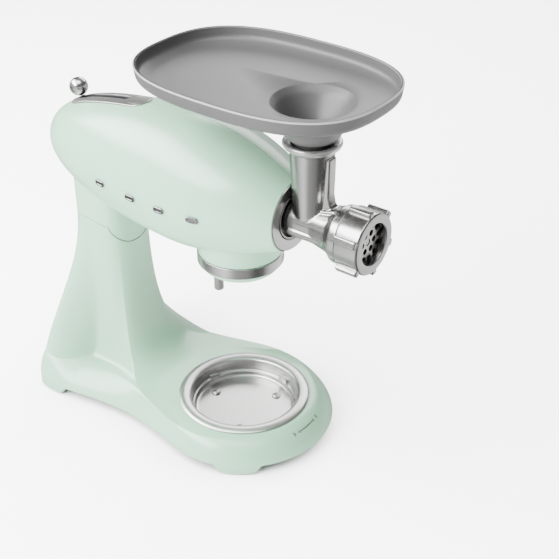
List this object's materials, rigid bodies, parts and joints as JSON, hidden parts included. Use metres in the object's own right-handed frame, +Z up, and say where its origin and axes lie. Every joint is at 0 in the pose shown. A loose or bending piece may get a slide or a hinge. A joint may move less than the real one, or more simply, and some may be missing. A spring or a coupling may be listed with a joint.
{
  "type": "stand mixer with meat grinder attachment",
  "caption": "Retro tilt-head kitchen machine: painted head on a curved stand, with a polished screw-feed meat grinder and feed tray plugged into its front drive hub.",
  "frame": {"origin": "centre of the bounding box in plan, on the plane the feet stand on", "axes": "+X forwards, out of the front drive hub; +Y to the machine's left; +Z up"},
  "size_m": [0.442, 0.21, 0.4517],
  "materials": {
    "mint_paint": "gloss enamel",
    "polished_steel": "polished",
    "steel": "satin",
    "cast_aluminium": "polished casting",
    "bright_trim": "mirror",
    "grey_tray": "matte",
    "dark_plastic": "fine texture",
    "rubber": "matte",
    "brass": "satin",
    "copper": "enamelled wire",
    "board": "lacquered"
  },
  "bodies": {
    "stand": {"base_housing": "mint_paint", "base_cover": "dark_plastic", "foot_front_left": "rubber", "foot_front_right": "rubber", "foot_rear_left": "rubber", "foot_rear_right": "rubber", "bowl_seat": "polished_steel", "bowl_seat_screw_1": "steel", "bowl_seat_screw_2": "steel", "bowl_seat_screw_3": "steel", "hinge_pin": "steel", "cord_inlet": "rubber", "control_board": "board", "release_spring": "steel", "latch_bracket": "steel", "latch_pin": "steel"},
    "release_button": {"release_button": "bright_trim"},
    "head_latch": {"head_latch": "steel"},
    "head": {"head_shell_left": "mint_paint", "head_shell_right": "mint_paint", "neck_bracket": "mint_paint", "hinge_bush_left": "brass", "hinge_bush_right": "brass", "speed_plate": "polished_steel", "badge_bar_1": "bright_trim", "badge_bar_2": "bright_trim", "badge_bar_3": "bright_trim", "badge_bar_4": "bright_trim", "hub_ring": "polished_steel", "hub_socket": "steel", "gearbox_frame": "cast_aluminium", "drive_bearing_rear": "steel", "drive_bearing_front": "steel", "carrier_bearing": "steel", "planetary_skirt": "mint_paint", "ring_gear": "steel", "motor_stator": "copper"},
    "speed_lever": {"lever_stem": "bright_trim", "lever_ball": "bright_trim"},
    "planetary": {"planetary_cap": "mint_paint", "planetary_band": "polished_steel", "carrier_shaft": "steel", "bevel_wheel": "steel"},
    "tool": {"tool_shaft": "steel", "tool_cross_pin": "steel", "planet_pinion": "steel"},
    "front_drive": {"drive_shaft": "steel", "bevel_pinion": "steel", "drive_gear": "brass"},
    "motor_rotor": {"rotor_core": "copper", "motor_shaft": "steel", "cooling_fan": "dark_plastic", "motor_pinion": "steel"},
    "grinder": {"grinder_body": "cast_aluminium", "auger_bush": "brass"},
    "auger": {"auger": "cast_aluminium", "knife": "polished_steel"},
    "hole_plate": {"hole_plate": "polished_steel"},
    "ring_nut": {"ring_nut": "cast_aluminium"},
    "tray": {"feed_tray": "grey_tray"}
  },
  "joints": [
    {"name": "head_tilt", "type": "hinge", "parent": "stand", "child": "head", "pos_m": [-0.17, 0, 0.211], "axis": [0, -1, 0], "range_deg": [0, 40]},
    {"name": "release_button_press", "type": "slide", "parent": "stand", "child": "release_button", "axis": [1, 0, 0], "range_m": [0, 0.004], "stiffness_N_per_m": 800, "springref_m": -0.002, "deforming": ["release_spring"]},
    {"name": "latch_swing", "type": "hinge", "parent": "stand", "child": "head_latch", "pos_m": [-0.15, 0, 0.17], "axis": [0, -1, 0], "range_deg": [0, 17.2]},
    {"name": "speed_lever_swing", "type": "hinge", "parent": "head", "child": "speed_lever", "pos_m": [-0.0992, 0, 0.175], "axis": [0, 1, 0], "range_deg": [0, 20]},
    {"name": "planetary_spin", "type": "hinge", "parent": "head", "child": "planetary", "pos_m": [0.047, 0, 0.25], "axis": [0, 0, 1], "continuous": true},
    {"name": "tool_spin", "type": "hinge", "parent": "planetary", "child": "tool", "pos_m": [0.02099, -0.00795, 0.2], "axis": [0, 0, 1], "continuous": true},
    {"name": "front_drive_spin", "type": "hinge", "parent": "head", "child": "front_drive", "pos_m": [0, 0, 0.3008], "axis": [1, 0, 0], "continuous": true},
    {"name": "motor_spin", "type": "hinge", "parent": "head", "child": "motor_rotor", "pos_m": [-0.08, 0, 0.3268], "axis": [1, 0, 0], "continuous": true},
    {"name": "grinder_slide", "type": "slide", "parent": "head", "child": "grinder", "axis": [1, 0, 0], "range_m": [0, 0.08]},
    {"name": "auger_spin", "type": "hinge", "parent": "grinder", "child": "auger", "pos_m": [0.15, 0, 0.3008], "axis": [1, 0, 0], "continuous": true},
    {"name": "hole_plate_advance", "type": "slide", "parent": "grinder", "child": "hole_plate", "axis": [1, 0, 0], "range_m": [0, 0.008]},
    {"name": "ring_nut_turn", "type": "hinge", "parent": "hole_plate", "child": "ring_nut", "pos_m": [0.2, 0, 0.3008], "axis": [1, 0, 0], "range_deg": [0, 720]},
    {"name": "tray_lift", "type": "slide", "parent": "grinder", "child": "tray", "axis": [0, 0, 1], "range_m": [0, 0.08]}
  ],
  "couplings": [
    {"joint": "latch_swing", "follows": "release_button_press", "rad_per_m": 74},
    {"joint": "tool_spin", "follows": "planetary_spin", "ratio": -3.4},
    {"joint": "front_drive_spin", "follows": "planetary_spin", "ratio": -2},
    {"joint": "motor_spin", "follows": "planetary_spin", "ratio": 6.6667},
    {"joint": "auger_spin", "follows": "planetary_spin", "ratio": -2},
    {"joint": "hole_plate_advance", "follows": "ring_nut_turn", "m_per_rad": 0.00063662}
  ]
}
